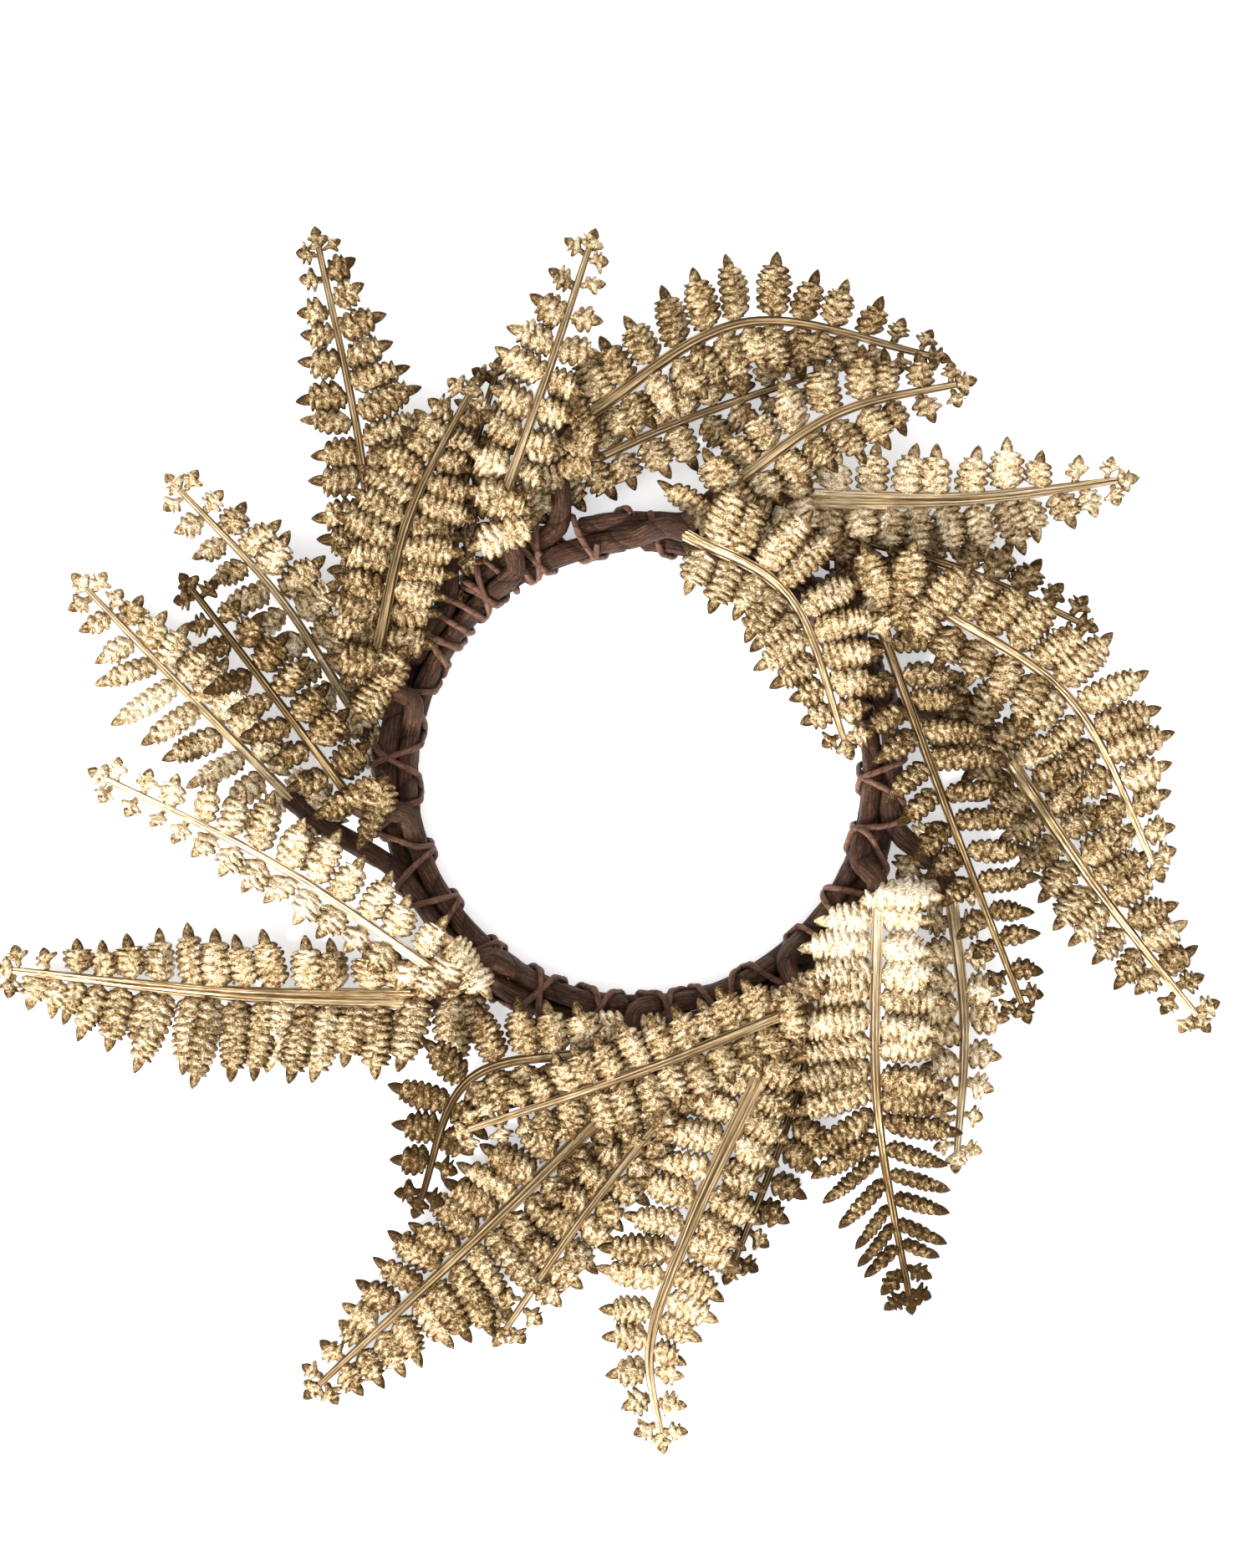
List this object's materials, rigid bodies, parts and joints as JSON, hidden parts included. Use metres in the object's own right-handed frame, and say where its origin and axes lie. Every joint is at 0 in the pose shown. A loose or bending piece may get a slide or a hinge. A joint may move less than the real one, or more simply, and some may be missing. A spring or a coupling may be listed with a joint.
{
  "type": "wreath frame",
  "caption": "Candle ring or mini wreath: a paper-wrapped wire hoop with moulded fern fronds on wrapped wire stems, laid clockwise round it and bound on with thin wire.",
  "frame": {"origin": "middle of the bottom of the bounding box; the axis of the hoop stands 7.9 mm to +X and 15.7 mm to +Y of it", "axes": "+Z along the axis of the hoop, up when the wreath lies on a table; seen from +Z, the fronds sweep clockwise; +Y towards the long upright fronds at the top of the wreath"},
  "size_m": [0.2924, 0.2904, 0.0256],
  "materials": {
    "hoop_wire": "plain wire",
    "paper_wrap": "waxed crepe paper",
    "binding": "paper-covered wire",
    "gold_fern": "antique gold paint"
  },
  "bodies": {
    "root": {"hoop_wire": "hoop_wire", "hoop_wrap": "paper_wrap", "binding_wire": "binding", "stem_01": "paper_wrap", "stem_02": "paper_wrap", "stem_03": "paper_wrap", "stem_04": "paper_wrap", "stem_05": "paper_wrap", "stem_06": "paper_wrap", "stem_07": "paper_wrap", "stem_08": "paper_wrap", "stem_09": "paper_wrap", "stem_10": "paper_wrap", "stem_11": "paper_wrap", "stem_12": "paper_wrap", "stem_13": "paper_wrap", "stem_14": "paper_wrap", "stem_15": "paper_wrap", "stem_16": "paper_wrap", "stem_17": "paper_wrap", "stem_18": "paper_wrap", "stem_19": "paper_wrap", "stem_20": "paper_wrap", "stem_21": "paper_wrap", "stem_22": "paper_wrap", "stem_23": "paper_wrap", "stem_24": "paper_wrap", "stem_25": "paper_wrap", "stem_26": "paper_wrap", "frond_01": "gold_fern", "frond_02": "gold_fern", "frond_03": "gold_fern", "frond_04": "gold_fern", "frond_05": "gold_fern", "frond_06": "gold_fern", "frond_07": "gold_fern", "frond_08": "gold_fern", "frond_09": "gold_fern", "frond_10": "gold_fern", "frond_11": "gold_fern", "frond_12": "gold_fern", "frond_13": "gold_fern", "frond_14": "gold_fern", "frond_15": "gold_fern", "frond_16": "gold_fern", "frond_17": "gold_fern", "frond_18": "gold_fern", "frond_19": "gold_fern", "frond_20": "gold_fern", "frond_21": "gold_fern", "frond_22": "gold_fern", "frond_23": "gold_fern", "frond_24": "gold_fern", "frond_25": "gold_fern", "frond_26": "gold_fern"}
  },
  "joints": []
}
